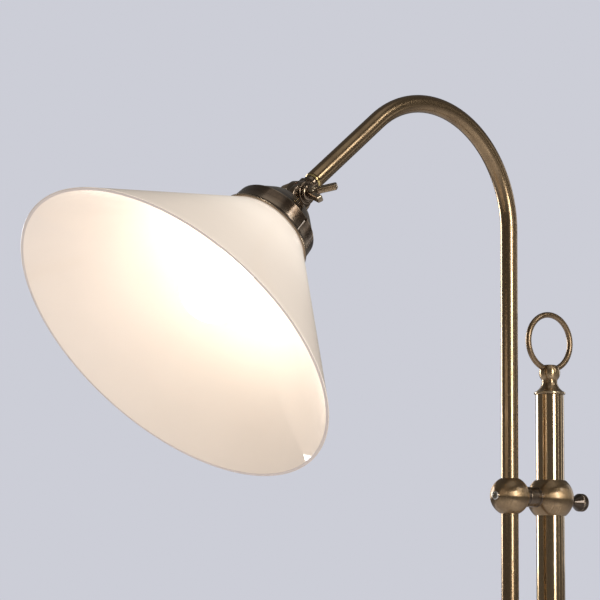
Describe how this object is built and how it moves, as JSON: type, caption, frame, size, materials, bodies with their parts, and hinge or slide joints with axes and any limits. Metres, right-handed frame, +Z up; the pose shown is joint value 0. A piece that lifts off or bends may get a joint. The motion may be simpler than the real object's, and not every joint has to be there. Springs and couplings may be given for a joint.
{
  "type": "pharmacy floor lamp",
  "caption": "Floor lamp with a weighted round base, a pole, a sliding and swivelling crooked arm on double-ball clamps, and a tilting opal glass cone shade in a brass gallery.",
  "frame": {"origin": "on the floor under the pole's axis, at the underside of the felt pad", "axes": "+Z up along the pole; the arm and shade reach towards -X at rest, and the crook lies in the XZ plane"},
  "size_m": [0.5463, 0.25, 1.4248],
  "materials": {
    "antique_brass": "antique brass, brushed along the tubes and lacquered",
    "dark_brass": "dark bronzed brass, brushed",
    "bright_brass": "bright brass",
    "steel": "zinc plated",
    "cast_iron": "as cast",
    "felt": "wool felt",
    "nylon": "natural nylon",
    "black_plastic": "moulded phenolic",
    "fibre": "vulcanised fibre",
    "porcelain": "glazed",
    "opal_glass": "polished opal glass, white through its thickness",
    "bulb_cap": "pressed",
    "bulb_glass": "frosted inside, lit"
  },
  "bodies": {
    "stand": {"base_pad": "felt", "base_weight": "cast_iron", "base_cover": "antique_brass", "base_washer": "steel", "base_bolt": "steel", "base_collar": "antique_brass", "pole_plug": "steel", "pole": "antique_brass", "finial": "antique_brass", "finial_ring": "antique_brass"},
    "slider": {"upper_liner": "nylon", "lower_liner": "nylon"},
    "arm": {"upper_pole_ball": "antique_brass", "upper_arm_ball": "antique_brass", "upper_neck": "antique_brass", "upper_grub_screw": "steel", "lower_pole_ball": "antique_brass", "lower_arm_ball": "antique_brass", "lower_neck": "antique_brass", "lower_grub_screw": "steel", "arm_tube": "antique_brass", "cord_bush": "black_plastic", "tube_ferrule": "bright_brass", "arm_knuckle": "dark_brass", "knuckle_washer": "fibre", "knuckle_nut": "antique_brass"},
    "upper_screw": {"upper_thumbscrew": "dark_brass"},
    "lower_screw": {"lower_thumbscrew": "dark_brass"},
    "tilt_screw": {"wing_screw": "antique_brass"},
    "shade": {"shade_knuckle": "dark_brass", "gallery": "dark_brass", "glass_shade": "opal_glass", "gallery_nut": "steel", "nipple": "steel", "holder_cap": "bright_brass", "holder_insert": "porcelain", "holder_contact": "bright_brass", "holder_thread": "bright_brass", "holder_body": "black_plastic", "bulb_cap": "bulb_cap", "bulb_glass": "bulb_glass"}
  },
  "joints": [
    {"name": "arm_slide", "type": "slide", "parent": "stand", "child": "slider", "axis": [0, 0, 1], "range_m": [-0.5, 0.05]},
    {"name": "arm_swivel", "type": "hinge", "parent": "slider", "child": "arm", "pos_m": [0, 0, 1.155], "axis": [0, 0, 1], "continuous": true},
    {"name": "shade_tilt", "type": "hinge", "parent": "arm", "child": "shade", "pos_m": [-0.23879, 0, 1.34212], "axis": [-0.0994, 0.9882, 0.1163], "range_deg": [-65, 60]},
    {"name": "upper_screw_turn", "type": "hinge", "parent": "arm", "child": "upper_screw", "pos_m": [0.017, 0, 1.1528], "axis": [1, 0, 0], "range_deg": [0, 360]},
    {"name": "lower_screw_turn", "type": "hinge", "parent": "arm", "child": "lower_screw", "pos_m": [0.017, 0, 0.6598], "axis": [1, 0, 0], "range_deg": [0, 360]},
    {"name": "tilt_screw_turn", "type": "hinge", "parent": "arm", "child": "tilt_screw", "pos_m": [-0.23879, 0, 1.34212], "axis": [0.0994, -0.9882, -0.1163], "range_deg": [0, 360]}
  ]
}
